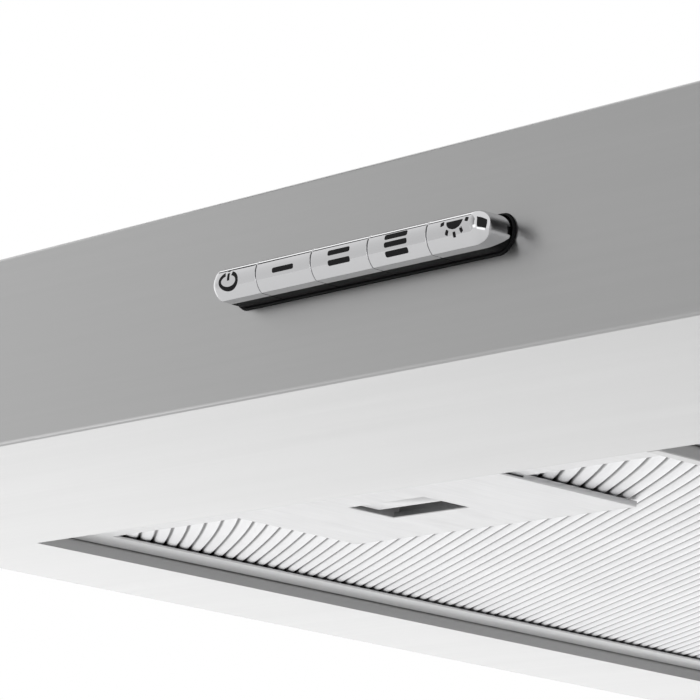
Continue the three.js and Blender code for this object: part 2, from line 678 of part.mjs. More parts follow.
// A finger tab in the recess, with a bolt that runs forward to the opening's front rim.
function latchSlider(side) {
  const { latch } = filterSpan(side);
  const tabHalf = LATCH_HALF - 3;
  const bolt = block(latch - BOLT.half, latch + BOLT.half, FRONT_BORDER + GAP, LATCH_TAB_BACK,
    BOLT.bottom, BOLT.top);
  const tab = block(latch - tabHalf, latch + tabHalf, LATCH_FRONT + 0.8, LATCH_TAB_BACK,
    PLATE_BOTTOM + 0.8, BOLT.bottom + 1);
  return union(bolt, tab);
}

// Lamps -----------------------------------------------------------------------------

const LAMP_BORE = LAMP_RADIUS - 3.5;
const LAMP_SEAT = SHEET + GAP;
const LAMP_FLANGE_TOP = LAMP_SEAT + SHEET;

function lampBezel(side) {
  return turned(side * LAMP_X, LAMP_Y, [
    [LAMP_BORE, 0],
    [LAMP_RADIUS + 0.6, 0],
    [LAMP_RADIUS + 0.6, LAMP_SEAT],
    [LAMP_RADIUS + 4, LAMP_SEAT],
    [LAMP_RADIUS + 4, LAMP_FLANGE_TOP],
    [LAMP_BORE, LAMP_FLANGE_TOP],
  ], 40);
}

function lampLens(side) {
  return upright(side * LAMP_X, LAMP_Y, SHEET / 2, LAMP_FLANGE_TOP - GAP, LAMP_BORE - GAP, 40);
}

function lampBody(side) {
  const low = LAMP_FLANGE_TOP + GAP;
  return turned(side * LAMP_X, LAMP_Y, [
    [0, low],
    [LAMP_RADIUS, low],
    [LAMP_RADIUS, low + 4],
    [LAMP_RADIUS - 5, low + 6],
    [LAMP_RADIUS - 5, low + 20],
    [0, low + 20],
  ], 32);
}

// Assembly --------------------------------------------------------------------------

addPart("canopy_shell", STAINLESS, canopyShell());
addPart("top_deck", STAINLESS, topDeck());
addPart("filter_divider", STAINLESS, filterDivider());
addPart("back_panel", GALVANISED, backPanel());
addPart("housing_shell", STAINLESS, housingShell());

addPart("duct_collar", GALVANISED, ductCollar());
addPart("damper_crossbar", GALVANISED, damperCrossbar());
addPart("damper_flap_front", ALUMINIUM, damperFlap(-1));
addPart("damper_flap_rear", ALUMINIUM, damperFlap(1));

addPart("blower_base", GALVANISED, blowerBase());
addPart("blower_wrapper", GALVANISED, blowerWrapper());
addPart("blower_top", GALVANISED, blowerTop());
addPart("fan_motor", ZINC, fanMotor());
addPart("impeller", DARK_PAINT, impeller());
addPart("motor_shaft", ZINC, motorShaft());
addPart("motor_capacitor", WHITE_PLASTIC, motorCapacitor());
addPart("capacitor_clip", ZINC, capacitorClip());

addPart("terminal_box", BLACK_PLASTIC, terminalBox());
addPart("terminal_box_cover", BLACK_PLASTIC, terminalBoxCover());
addPart("terminal_block", WHITE_PLASTIC, terminalBlock());
addPart("control_board", CIRCUIT_BOARD, controlBoard());
addPart("cable_gland", BLACK_PLASTIC, cableGland());
addPart("gland_nut", BLACK_PLASTIC, glandNut());
addPart("lamp_driver", WHITE_PLASTIC, lampDriver());

addPart("strip_bezel", BLACK_PLASTIC, stripBezel());
addPart("switch_carrier", BLACK_PLASTIC, switchCarrier());
addPart("switch_board", CIRCUIT_BOARD, switchBoard());
BUTTON_NAMES.forEach((name, i) => addPart(`button_${name}`, CHROME, button(i)));

for (const [word, side] of [["left", -1], ["right", 1]]) {
  addPart(`filter_${word}_frame`, ALUMINIUM, filterFrame(side));
  addPart(`filter_${word}_front_mesh`, ALUMINIUM, filterMesh(side, MESH_BOTTOM, true));
  addPart(`filter_${word}_rear_mesh`, ALUMINIUM, filterMesh(side, REAR_MESH_BOTTOM, false));
  addPart(`filter_${word}_latch_plate`, ALUMINIUM, latchPlate(side));
  addPart(`filter_${word}_latch_slider`, ALUMINIUM, latchSlider(side));
  addPart(`lamp_${word}_bezel`, CHROME, lampBezel(side));
  addPart(`lamp_${word}_lens`, FROSTED, lampLens(side));
  addPart(`lamp_${word}_body`, ALUMINIUM, lampBody(side));
  addPart(`carrier_screw_${word}`, ZINC, carrierScrew(side * CARRIER_SCREW_X));
}

const addScrews = (name, places, seat, length, way) =>
  places.forEach(([x, y], i) => addPart(`${name}_${i + 1}`, ZINC, uprightScrew(x, y, seat, length, way)));
addScrews("motor_screw", MOTOR_SCREWS, BLOWER_TOP + GAP, 4, -1);
addScrews("housing_screw", HOUSING_SCREWS, CANOPY_HEIGHT + GAP, 6, -1);
addScrews("collar_screw", COLLAR_SCREWS, COLLAR_FLANGE_BOTTOM - GAP, 2.6, 1);

// Push the whole hood down and back so that the origin is on the cabinet face.
parts.position.set(0, -DEPTH / 2, -BODY_HEIGHT);
const hood = new THREE.Group();
hood.add(parts);

export default hood;
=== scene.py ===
"""Under cabinet range hood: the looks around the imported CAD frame, in metres.

Profiles and positions that go through at() or MM are in millimetres.
"""
import json
import math
import random

import bmesh
import bpy
from mathutils import Matrix, Vector


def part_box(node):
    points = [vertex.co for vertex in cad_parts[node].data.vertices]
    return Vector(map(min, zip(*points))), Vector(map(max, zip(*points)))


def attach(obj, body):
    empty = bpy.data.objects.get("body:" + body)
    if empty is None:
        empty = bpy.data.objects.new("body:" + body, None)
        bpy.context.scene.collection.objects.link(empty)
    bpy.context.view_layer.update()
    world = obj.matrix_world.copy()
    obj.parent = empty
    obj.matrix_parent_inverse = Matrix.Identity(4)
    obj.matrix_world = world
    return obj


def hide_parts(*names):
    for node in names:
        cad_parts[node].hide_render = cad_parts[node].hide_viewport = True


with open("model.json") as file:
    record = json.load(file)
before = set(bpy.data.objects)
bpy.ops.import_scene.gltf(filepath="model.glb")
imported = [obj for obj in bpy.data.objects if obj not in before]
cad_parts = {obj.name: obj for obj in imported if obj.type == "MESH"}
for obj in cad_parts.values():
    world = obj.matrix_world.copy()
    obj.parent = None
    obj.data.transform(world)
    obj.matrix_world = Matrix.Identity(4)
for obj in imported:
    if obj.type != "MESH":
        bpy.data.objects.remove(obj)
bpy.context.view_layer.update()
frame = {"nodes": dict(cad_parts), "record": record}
nodes = frame["nodes"]
random.seed(7)

MM = 0.001
SHELL_LOW, SHELL_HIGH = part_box("canopy_shell")
ORIGIN = Vector((0.0, SHELL_LOW.y, SHELL_LOW.z))


def at(x, y, z):
    """A point given in mm from the middle of the fascia's lower edge: x right, y back, z up."""
    return ORIGIN + Vector((x, y, z)) * MM


# Camera ---------------------------------------------------------------------

CAMERA_PLACE = (801.8, -609.9, -220.0)
CAMERA_YAW = 52.94
CAMERA_RISE = 12.71
CAMERA_ROLL = 5.07
CAMERA_LENS = 198.86


def add_camera():
    data = bpy.data.cameras.new("camera")
    data.lens = CAMERA_LENS
    data.clip_start = 0.05
    data.clip_end = 100
    camera = bpy.data.objects.new("camera", data)
    bpy.context.scene.collection.objects.link(camera)
    turn = (Matrix.Rotation(math.radians(CAMERA_YAW), 4, "Z")
            @ Matrix.Rotation(math.radians(90 + CAMERA_RISE), 4, "X")
            @ Matrix.Rotation(math.radians(CAMERA_ROLL), 4, "Z"))
    camera.matrix_world = Matrix.Translation(at(*CAMERA_PLACE)) @ turn
    bpy.context.scene.camera = camera


# Materials ------------------------------------------------------------------


class Shader:
    """One node material with a principled shader, and short ways to add nodes to it."""

    def __init__(self, name, metallic=0.0, roughness=0.5, colour=(0.5, 0.5, 0.5), **sockets):
        self.material = bpy.data.materials.new(name)
        self.material.use_nodes = True
        self.tree = self.material.node_tree
        self.surface = self.tree.nodes["Principled BSDF"]
        self.surface.inputs["Metallic"].default_value = metallic
        self.surface.inputs["Roughness"].default_value = roughness
        self.surface.inputs["Base Color"].default_value = (*colour, 1)
        for socket, value in sockets.items():
            self.surface.inputs[socket.replace("_", " ")].default_value = value
        self.object_space = self.add("ShaderNodeTexCoord").outputs["Object"]

    def add(self, kind, inputs=(), **settings):
        node = self.tree.nodes.new(kind)
        for key, value in settings.items():
            setattr(node, key, value)
        for key, value in dict(inputs).items():
            if isinstance(value, bpy.types.NodeSocket):
                self.tree.links.new(value, node.inputs[key])
            else:
                node.inputs[key].default_value = value
        return node

    def scaled(self, scale, source=None, turn=0.0):
        """Object space stretched by scale, and turned about Z."""
        mapping = self.add("ShaderNodeMapping", {"Vector": source or self.object_space})
        mapping.inputs["Scale"].default_value = scale
        mapping.inputs["Rotation"].default_value = (0, 0, turn)
        return mapping.outputs["Vector"]

    def noise(self, vector, scale=1.0, detail=3.0, roughness=0.55):
        inputs = {"Vector": vector, "Scale": scale, "Detail": detail, "Roughness": roughness}
        return self.add("ShaderNodeTexNoise", inputs).outputs["Fac"]

    def spread(self, value, low, high, source_low=0.25, source_high=0.75):
        """value, from its source range to low..high."""
        inputs = {"Value": value, "From Min": source_low, "From Max": source_high,
                  "To Min": low, "To Max": high}
        return self.add("ShaderNodeMapRange", inputs).outputs["Result"]

    def blend(self, factor, a, b):
        """Colour a where factor is 0 and b where it is 1."""
        mix = self.add("ShaderNodeMix", data_type="RGBA")
        self.tree.links.new(factor, mix.inputs["Factor"])
        mix.inputs[6].default_value = (*a, 1)
        mix.inputs[7].default_value = (*b, 1)
        return mix.outputs[2]

    def drive(self, socket, output):
        self.tree.links.new(output, self.surface.inputs[socket])

    def bump(self, height, strength, distance=0.0002, under=None):
        inputs = {"Height": height, "Strength": strength, "Distance": distance}
        if under is not None:
            inputs["Normal"] = under
        output = self.add("ShaderNodeBump", inputs).outputs["Normal"]
        self.drive("Normal", output)
        return output


def brushed_steel(name, tone, roughness):
    """Sheet brushed along X, or along Y on the faces that look sideways."""
    shader = Shader(name, metallic=1.0, roughness=roughness)
    normal = shader.add("ShaderNodeNewGeometry").outputs["Normal"]
    parts = shader.add("ShaderNodeSeparateXYZ", {"Vector": normal})
    sideways = shader.add("ShaderNodeMath", {0: parts.outputs["X"]}, operation="ABSOLUTE")
    is_side = shader.add("ShaderNodeMath", {0: sideways.outputs[0], 1: 0.7}, operation="GREATER_THAN")
    grain = shader.add("ShaderNodeMix", data_type="VECTOR")
    shader.tree.links.new(is_side.outputs[0], grain.inputs["Factor"])
    shader.tree.links.new(shader.scaled((5, 520, 520)), grain.inputs[4])
    shader.tree.links.new(shader.scaled((520, 5, 520)), grain.inputs[5])
    streaks = shader.noise(grain.outputs[1], detail=4.0, roughness=0.6)
    low = tuple(0.965 * c for c in tone)
    shader.drive("Base Color", shader.blend(shader.spread(streaks, 0, 1), low, tone))
    shader.drive("Roughness", shader.spread(streaks, roughness - 0.02, roughness + 0.02))
    shader.surface.inputs["Anisotropic"].default_value = 0.6
    tangent = shader.add("ShaderNodeTangent", direction_type="RADIAL", axis="X")
    shader.drive("Tangent", tangent.outputs[0])
    shader.bump(streaks, 0.03, 0.00003)
    return shader.material


def galvanised_steel():
    """Zinc spangle: flat crystals of slightly different grey, with a soft grain."""
    shader = Shader("galvanised", metallic=1.0, roughness=0.42)
    warped = shader.add("ShaderNodeTexNoise", {"Vector": shader.object_space, "Scale": 60.0, "Detail": 2.0})
    place = shader.add("ShaderNodeVectorMath", operation="MULTIPLY_ADD")
    shader.tree.links.new(warped.outputs["Color"], place.inputs[0])
    place.inputs[1].default_value = (0.006, 0.006, 0.006)
    shader.tree.links.new(shader.object_space, place.inputs[2])
    crystals = shader.add("ShaderNodeTexVoronoi", {"Vector": place.outputs[0], "Scale": 130.0})
    grey = shader.add("ShaderNodeSeparateColor", {"Color": crystals.outputs["Color"]}).outputs[0]
    shader.drive("Base Color", shader.blend(grey, (0.50, 0.52, 0.54), (0.64, 0.66, 0.68)))
    shader.drive("Roughness", shader.spread(grey, 0.34, 0.52, 0, 1))
    shader.bump(shader.noise(shader.object_space, scale=900.0), 0.08, 0.00005)
    return shader.material


def satin_aluminium(name, tone, roughness, grain=(900, 60, 900)):
    shader = Shader(name, metallic=1.0, roughness=roughness)
    rolled = shader.noise(shader.scaled(grain), detail=3.0)
    clouds = shader.noise(shader.object_space, scale=14.0)
    shader.drive("Base Color", shader.blend(shader.spread(clouds, 0, 1), tuple(0.95 * c for c in tone), tone))
    shader.drive("Roughness", shader.spread(rolled, roughness - 0.04, roughness + 0.05))
    shader.bump(rolled, 0.08, 0.00005)
    return shader.material


# Heights in mm above the sheet where the painted shade in the mesh grooves starts and becomes full.
GROOVE_SHADE_FROM = 0.28
GROOVE_SHADE_TO = 0.75


def expanded_aluminium(name, sheet_z):
    """Thin expanded metal: rows of small diamonds, dull, with painted shade down in the grooves above
    sheet_z.
    """
    shader = Shader(name, metallic=1.0, roughness=0.42)
    cell = shader.scaled((420, 780, 420), turn=math.radians(-25))
    diamonds = shader.add("ShaderNodeTexVoronoi", {"Vector": cell, "Scale": 1.0, "Randomness": 0.35},
                          feature="DISTANCE_TO_EDGE")
    strand = shader.spread(diamonds.outputs["Distance"], 1.0, 0.0, 0.02, 0.16)
    wear = shader.noise(shader.object_space, scale=25.0)
    tone = shader.blend(shader.spread(wear, 0, 1), (0.77, 0.77, 0.78), (0.82, 0.82, 0.83))
    height = shader.add("ShaderNodeSeparateXYZ", {"Vector": shader.object_space}).outputs["Z"]
    # Painted shade: the mesh colour turns dark grey as it rises into the grooves.
    groove = shader.spread(height, 0.0, 1.0, sheet_z + GROOVE_SHADE_FROM * MM, sheet_z + GROOVE_SHADE_TO * MM)
    mix = shader.add("ShaderNodeMix", data_type="RGBA")
    shader.tree.links.new(groove, mix.inputs["Factor"])
    shader.tree.links.new(tone, mix.inputs[6])
    mix.inputs[7].default_value = (0.19, 0.19, 0.192, 1)
    shader.drive("Base Color", mix.outputs[2])
    shader.bump(strand, 0.2, 0.0001)
    return shader.material


def polished_chrome():
    shader = Shader("chrome", metallic=1.0, roughness=0.05, colour=(0.64, 0.64, 0.65))
    haze = shader.noise(shader.object_space, scale=220.0, detail=4.0)
    shader.drive("Roughness", shader.spread(haze, 0.03, 0.075))
    shader.bump(shader.noise(shader.object_space, scale=500.0, detail=1.0), 0.02, 0.00005)
    return shader.material


def moulded_plastic(name, tone, roughness, specular=0.5, texture=0.25):
    shader = Shader(name, roughness=roughness, Specular_IOR_Level=specular)
    spots = shader.noise(shader.object_space, scale=2600.0, detail=1.0)
    clouds = shader.noise(shader.object_space, scale=30.0)
    dark = tuple(0.85 * c for c in tone)
    shader.drive("Base Color", shader.blend(shader.spread(clouds, 0, 1), dark, tone))
    shader.drive("Roughness", shader.spread(spots, roughness - 0.06, roughness + 0.06))
    shader.bump(spots, texture, 0.00005)
    return shader.material


def circuit_board():
    shader = Shader("circuit_board", roughness=0.45)
    tracks = shader.add("ShaderNodeTexBrick", {"Vector": shader.scaled((1, 1, 1)), "Scale": 160.0})
    tracks.inputs["Color1"].default_value = (0.03, 0.17, 0.07, 1)
    tracks.inputs["Color2"].default_value = (0.035, 0.20, 0.08, 1)
    tracks.inputs["Mortar"].default_value = (0.06, 0.30, 0.12, 1)
    shader.drive("Base Color", tracks.outputs["Color"])
    shader.bump(tracks.outputs["Fac"], 0.2, 0.00005)
    return shader.material


def plated_steel(name, tone, roughness):
    shader = Shader(name, metallic=1.0, roughness=roughness)
    stains = shader.noise(shader.object_space, scale=180.0, detail=4.0)
    warm = (tone[0] * 0.92, tone[1] * 0.92, tone[2] * 0.86)
    shader.drive("Base Color", shader.blend(shader.spread(stains, 0, 1), warm, tone))
    shader.drive("Roughness", shader.spread(stains, roughness - 0.06, roughness + 0.08))
    shader.bump(shader.noise(shader.object_space, scale=1800.0), 0.05, 0.00004)
    return shader.material


def frosted_lens():
    """A lens with fine concentric prisms."""
    shader = Shader("frosted_lens", roughness=0.32, colour=(0.9, 0.9, 0.88), Transmission_Weight=0.25)
    ripple = shader.noise(shader.object_space, scale=1400.0, detail=2.0)
    tone = shader.blend(shader.spread(ripple, 0, 1), (0.86, 0.86, 0.84), (0.93, 0.93, 0.91))
    shader.drive("Base Color", tone)
    shader.bump(ripple, 0.3, 0.0001)
    return shader.material


STAINLESS = brushed_steel("stainless", (0.45, 0.45, 0.45), 0.30)
GALVANISED = galvanised_steel()
ALUMINIUM = satin_aluminium("aluminium_sheet", (0.60, 0.60, 0.605), 0.36)
MESH = expanded_aluminium("aluminium_mesh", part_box("filter_left_front_mesh")[0].z)
REAR_MESH = expanded_aluminium("aluminium_rear_mesh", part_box("filter_left_rear_mesh")[0].z)
CHROME = polished_chrome()
BLACK = moulded_plastic("black_plastic", (0.006, 0.006, 0.0065), 0.6, specular=0.1)
INK = moulded_plastic("printed_black", (0.006, 0.006, 0.007), 0.6, specular=0.1, texture=0.05)
WHEEL = moulded_plastic("wheel_plastic", (0.035, 0.035, 0.038), 0.5)
WHITE = moulded_plastic("white_plastic", (0.80, 0.80, 0.77), 0.35)
BOARD = circuit_board()
ZINC = plated_steel("zinc_plate", (0.70, 0.72, 0.74), 0.28)
MOTOR = plated_steel("motor_steel", (0.45, 0.46, 0.48), 0.38)
LENS = frosted_lens()

BY_SLOT = {
    "stainless": STAINLESS, "galvanised": GALVANISED, "aluminium_sheet": ALUMINIUM, "aluminium_mesh": MESH,
    "motor_steel": MOTOR, "wheel_plastic": WHEEL, "white_plastic": WHITE, "zinc_plate": ZINC,
    "black_plastic": BLACK, "circuit_board": BOARD, "chrome": CHROME, "frosted_lens": LENS,
}
SLOT_OF = {p["node"]: p["material_slot"] for p in frame["record"]["subparts"]}
BODY_OF = {n: b for b, members in frame["record"]["behaviour"]["bodies"].items() for n in members}


# Pieces ---------------------------------------------------------------------

LARGE_FACE = 1500 * MM * MM


def piece(name, bm, stands_for, material=None, body=None, sharp=32.0):
    """A finished object from bm that rides with, and stands for, the CAD nodes in stands_for."""
    bmesh.ops.recalc_face_normals(bm, faces=bm.faces)
    mesh = bpy.data.meshes.new(name)
    bm.to_mesh(mesh)
    bm.free()
    mesh.polygons.foreach_set("use_smooth", [True] * len(mesh.polygons))
    mesh.set_sharp_from_angle(angle=math.radians(sharp))
    bordering = {edge for face in mesh.polygons if face.area > LARGE_FACE for edge in face.edge_keys}
    for edge in mesh.edges:
        if edge.key in bordering:
            edge.use_edge_sharp = True
    made = bpy.data.objects.new(name, mesh)
    bpy.context.scene.collection.objects.link(made)
    first = stands_for[0]
    made.data.materials.append(material or BY_SLOT[SLOT_OF[first]])
    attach(made, body or BODY_OF[first])
    if body is None:
        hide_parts(*stands_for)
    return made


def node_mesh(node):
    """A copy of a CAD node's mesh with its coplanar triangles joined."""
    bm = bmesh.new()
    bm.from_mesh(nodes[node].data)
    bmesh.ops.remove_doubles(bm, verts=bm.verts, dist=2e-6)
    bmesh.ops.dissolve_limit(bm, angle_limit=math.radians(0.6), verts=bm.verts, edges=bm.edges)
    return bm


def bevel_edges(bm, width, steps, chosen=lambda edge: True, angle=30.0):
    """Rounds the edges where two faces meet at more than angle degrees."""
    sharp = [e for e in bm.edges
             if len(e.link_faces) == 2 and e.calc_face_angle(0.0) > math.radians(angle) and chosen(e)]
    if sharp:
        bmesh.ops.bevel(bm, geom=sharp, offset=width, segments=steps, profile=0.5, affect="EDGES",
                        clamp_overlap=True)


def refined(node, width=0.25, steps=2, angle=30.0, material=None):
    """A CAD node with its edges rounded by width mm."""
    bm = node_mesh(node)
    bevel_edges(bm, width * MM, steps, angle=angle)
    return piece(node + "_shape", bm, [node], material=material)


def everything(bm):
    return list(bm.verts) + list(bm.edges) + list(bm.faces)


def split(bm, point, normal, clear=False):
    """Cuts bm with a plane, and with clear drops what lies on the normal's side."""
    return bmesh.ops.bisect_plane(bm, geom=everything(bm), dist=1e-8, plane_co=point, plane_no=normal,
                                  clear_outer=clear)


def keep_side(bm, point, normal):
    """Cuts bm with a plane, drops what lies on the normal's side and closes the cut."""
    result = split(bm, point, normal, clear=True)
    rim = [e for e in result["geom_cut"] if isinstance(e, bmesh.types.BMEdge) and e.is_boundary]
    return bmesh.ops.holes_fill(bm, edges=rim, sides=0)["faces"] if rim else []


# Canopy ---------------------------------------------------------------------


def add_canopy():
    """The folded sheet: real bend radii on its outer corners, and cut edges slightly eased."""
    bm = node_mesh("canopy_shell")

    def on_outer_fold(edge):
        middle = (edge.verts[0].co + edge.verts[1].co) / 2
        at_side = min(abs(middle.x - SHELL_LOW.x), abs(middle.x - SHELL_HIGH.x)) < 1e-5
        at_front = abs(middle.y - SHELL_LOW.y) < 1e-5
        at_level = min(abs(middle.z - SHELL_LOW.z), abs(middle.z - SHELL_HIGH.z)) < 1e-5
        return at_side + at_front + at_level >= 2 and edge.calc_length() > 0.02

    bevel_edges(bm, 1.0 * MM, 4, on_outer_fold)
    bevel_edges(bm, 0.18 * MM, 1, lambda edge: edge.calc_length() > 0.003, angle=60.0)
    piece("canopy_shell_shape", bm, ["canopy_shell"])


# Button strip ---------------------------------------------------------------

BUTTONS = ["power", "low", "medium", "high", "light"]
STRIP_LOW, STRIP_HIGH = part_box("button_power")
STRIP_Z = (STRIP_LOW.z + STRIP_HIGH.z) / 2 / MM - SHELL_LOW.z / MM
LIP_END = 1.25
LIP_DEPTH = 3.0
STRIP_HALF = -STRIP_LOW.x / MM - LIP_END
FACE_Y = (STRIP_LOW.y - SHELL_LOW.y) / MM + 0.03
WALL_BACK = (STRIP_HIGH.y - SHELL_LOW.y) / MM - LIP_DEPTH + 0.2
FACE_BELOW = 4.85
FACE_ABOVE = 4.6
STRIP_RADIUS = (FACE_BELOW + FACE_ABOVE) / 2
STRIP_STRAIGHT = STRIP_HALF - STRIP_RADIUS
STRIP_MIDDLE_Z = STRIP_Z + (FACE_ABOVE - FACE_BELOW) / 2
CROWN_RADIUS = 7.2
CROWN_CENTRE = 0.7
CROWN_TOP = 2.95
EDGE_ROUND = 0.12
BEVEL_RISE = 0.9
BEVEL_ROUND = 2.4
END_RADIUS = 3.8
END_DEPTH = 1.25
SEAM_LOOP = 0.3
SLEEVE_SHARE = 0.45
SLEEVE_PROUD = 0.06
SLEEVE_SUNK = 0.2


def crown(z):
    """Depth of the buttons' arched face at height z above the strip's middle."""
    reach = min(abs(z - CROWN_CENTRE), CROWN_RADIUS)
    return FACE_Y + CROWN_RADIUS - math.sqrt(CROWN_RADIUS ** 2 - reach ** 2)


def edge_depth(inset, angle):
    """Depth of the strip's surface at a distance inside its outline, for an outline that faces angle."""
    below = crown(-FACE_BELOW + max(inset, 0.0))
    if inset < EDGE_ROUND:
        below += EDGE_ROUND - math.sqrt(max(EDGE_ROUND ** 2 - (EDGE_ROUND - inset) ** 2, 0.0))
    top_z = FACE_ABOVE - inset
    above = crown(min(top_z, CROWN_TOP))
    if top_z > CROWN_TOP:
        share = (top_z - CROWN_TOP) / (FACE_ABOVE - CROWN_TOP)
        above += BEVEL_RISE * share + BEVEL_ROUND * (1 - math.sqrt(max(1 - share ** 2, 0.0)))
    end = crown(0)
    if inset < END_RADIUS:
        end += EDGE_ROUND * (1 - inset / END_RADIUS) + END_DEPTH * (
            END_RADIUS - math.sqrt(END_RADIUS ** 2 - (END_RADIUS - inset) ** 2))
    sideways = math.cos(angle) ** 2
    vertical = above if math.sin(angle) > 0 else below
    return sideways * end + (1 - sideways) * vertical


def strip_bar():
    """All five buttons as one bar: rings that run in from the outline to the middle line."""
    insets = [0.0, 0.02, 0.05, 0.09, 0.14, 0.22, 0.34, 0.5, 0.7, 0.95, 1.2, 1.45, 1.66, 1.9, 2.2, 2.5, 2.8,
              3.0, 3.12, 3.3, 3.6, 4.0, 4.4]
    turns = 48
    points = [(side * STRIP_STRAIGHT, -side * math.pi / 2 + math.pi * i / turns)
              for side in (1, -1) for i in range(turns + 1)]
    bm = bmesh.new()
    rings = []
    back = [bm.verts.new(at(x + STRIP_RADIUS * math.cos(a), WALL_BACK,
                            STRIP_MIDDLE_Z + STRIP_RADIUS * math.sin(a))) for x, a in points]
    rings.append(back)
    for inset in insets:
        radius = STRIP_RADIUS - inset
        rings.append([bm.verts.new(at(x + radius * math.cos(a), edge_depth(inset, a),
                                      STRIP_MIDDLE_Z + radius * math.sin(a))) for x, a in points])
    for outer, inner in zip(rings, rings[1:]):
        for i in range(len(points)):
            j = (i + 1) % len(points)
            bm.faces.new((outer[i], outer[j], inner[j], inner[i]))
    last = rings[-1]
    count = turns + 1
    centres = []
    for side in (1, -1):
        depth = edge_depth(STRIP_RADIUS, 0.0)
        centres.append(bm.verts.new(at(side * STRIP_STRAIGHT, depth, STRIP_MIDDLE_Z)))
    for s, centre in enumerate(centres):
        ring = last[s * count:(s + 1) * count]
        for a, b in zip(ring, ring[1:]):
            bm.faces.new((centre, a, b))
    bm.faces.new((last[count - 1], last[count], centres[1], centres[0]))
    bm.faces.new((last[2 * count - 1], last[0], centres[0], centres[1]))
    bm.faces.new(list(reversed(back)))
    bmesh.ops.recalc_face_normals(bm, faces=bm.faces)
    return bm


def gap_shade_sleeve_bar():
    """A black plastic sleeve round the rear of the chrome caps; its black band under them is painted shade
    for the dark gap between the caps and the fascia's hole.
    """
    turns = 12
    outline = [(-STRIP_STRAIGHT, -math.pi + math.pi / 2 * (i + 1) / turns) for i in range(turns)]
    outline += [(STRIP_STRAIGHT, -math.pi / 2 + math.pi / 2 * i / turns) for i in range(turns)]
    bm = bmesh.new()
    sections = []
    for x, angle in outline:
        front = SLEEVE_SHARE * FACE_Y * (-math.sin(angle)) ** 1.5
        section = []
        for radius, y in ((STRIP_RADIUS + SLEEVE_PROUD, front), (STRIP_RADIUS + SLEEVE_PROUD, WALL_BACK),
                          (STRIP_RADIUS - SLEEVE_SUNK, WALL_BACK), (STRIP_RADIUS - SLEEVE_SUNK, front)):
            section.append(bm.verts.new(at(x + radius * math.cos(angle), y,
                                           STRIP_MIDDLE_Z + radius * math.sin(angle))))
        sections.append(section)
    for a, b in zip(sections, sections[1:]):
        for i in range(4):
            j = (i + 1) % 4
            bm.faces.new((a[i], a[j], b[j], b[i]))
    bm.faces.new(sections[0])
    bm.faces.new(list(reversed(sections[-1])))
    bmesh.ops.recalc_face_normals(bm, faces=bm.faces)
    return bm


def add_buttons():
    whole = strip_bar()
    sleeve = gap_shade_sleeve_bar()
    for index, name in enumerate(BUTTONS):
        node = "button_" + name
        low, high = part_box(node)
        bm = whole.copy()
        if index > 0:
            keep_side(bm, (low.x, 0, 0), (-1, 0, 0))
        if index < 4:
            keep_side(bm, (high.x, 0, 0), (1, 0, 0))
        for x in (low.x + SEAM_LOOP * MM, high.x - SEAM_LOOP * MM):
            split(bm, (x, 0, 0), (1, 0, 0))
        bm.normal_update()
        seam = [e for e in bm.edges
                if len(e.link_faces) == 2 and sum(abs(f.normal.x) > 0.999 for f in e.link_faces) == 1
                and e.calc_face_angle(0) > math.radians(40) and e.verts[0].co.y < low.y + 15 * MM
                and min(abs(e.verts[0].co.x - low.x), abs(e.verts[0].co.x - high.x)) < 1e-5
                and abs(e.verts[0].co.x - e.verts[1].co.x) < 1e-6]
        bmesh.ops.bevel(bm, geom=seam, offset=0.14 * MM, segments=2, profile=0.5, affect="EDGES",
                        clamp_overlap=True)
        lip = node_mesh(node)
        keep_side(lip, at(0, WALL_BACK + 0.1, 0), (0, -1, 0))
        spare = bpy.data.meshes.new("spare")
        lip.to_mesh(spare)
        bm.from_mesh(spare)
        lip.free()
        bpy.data.meshes.remove(spare)
        piece(node + "_shape", bm, [node], sharp=38.0)
        # The sleeve's black band under the caps is painted shade for the gap round the caps.
        band = sleeve.copy()
        if index > 0:
            keep_side(band, (low.x, 0, 0), (-1, 0, 0))
        if index < 4:
            keep_side(band, (high.x, 0, 0), (1, 0, 0))
        made = piece(node + "_gap_shade_moulding", band, [node], material=BLACK, body=node)
    whole.free()
    sleeve.free()


INK_PROUD = 0.015
INK_DEEP = 0.03


def ink_patch(bm, rows):
    """A printed patch on the arched face, from rows of (x, z) points in mm, as a thin closed skin."""
    def depth(z):
        return crown(min(z - STRIP_Z, CROWN_TOP))

    front = [[bm.verts.new(at(x, depth(z) - INK_PROUD, z)) for x, z in row] for row in rows]
    rear = [[bm.verts.new(at(x, depth(z) + INK_DEEP, z)) for x, z in row] for row in rows]
    for skin in (front, rear):
        for a, b in zip(skin, skin[1:]):
            for i in range(len(a) - 1):
                bm.faces.new((a[i], a[i + 1], b[i + 1], b[i]))
    rim_front = front[0] + [r[-1] for r in front[1:]] + front[-1][-2::-1] + [r[0] for r in front[-2:0:-1]]
    rim_rear = rear[0] + [r[-1] for r in rear[1:]] + rear[-1][-2::-1] + [r[0] for r in rear[-2:0:-1]]
    for i in range(len(rim_front)):
        j = (i + 1) % len(rim_front)
        bm.faces.new((rim_front[i], rim_front[j], rim_rear[j], rim_rear[i]))


def bar_icon(bm, x, z, width=9.5, height=1.45):
    """A level bar with rounded ends."""
    radius = height * 0.32
    rows = []
    for step in range(7):
        level = -height / 2 + height * step / 6
        over = max(abs(level) - (height / 2 - radius), 0.0)
        half = width / 2 - radius + math.sqrt(max(radius ** 2 - over ** 2, 0.0))
        rows.append([(x - half + 2 * half * i / 12, z + level) for i in range(13)])
    ink_patch(bm, rows)


def ring_icon(bm, x, z, half_width, half_height, stroke, gap, steps=40):
    """An oval ring that is open at its top by gap degrees on each side."""
    rows = []
    for inner in (1.0, 0.5, 0.0):
        row = []
        for i in range(steps + 1):
            angle = math.radians(90 + gap + (360 - 2 * gap) * i / steps)
            row.append((x + (half_width - stroke * inner) * math.cos(angle),
                        z + (half_height - stroke * inner) * math.sin(angle)))
        rows.append(row)
    ink_patch(bm, rows)


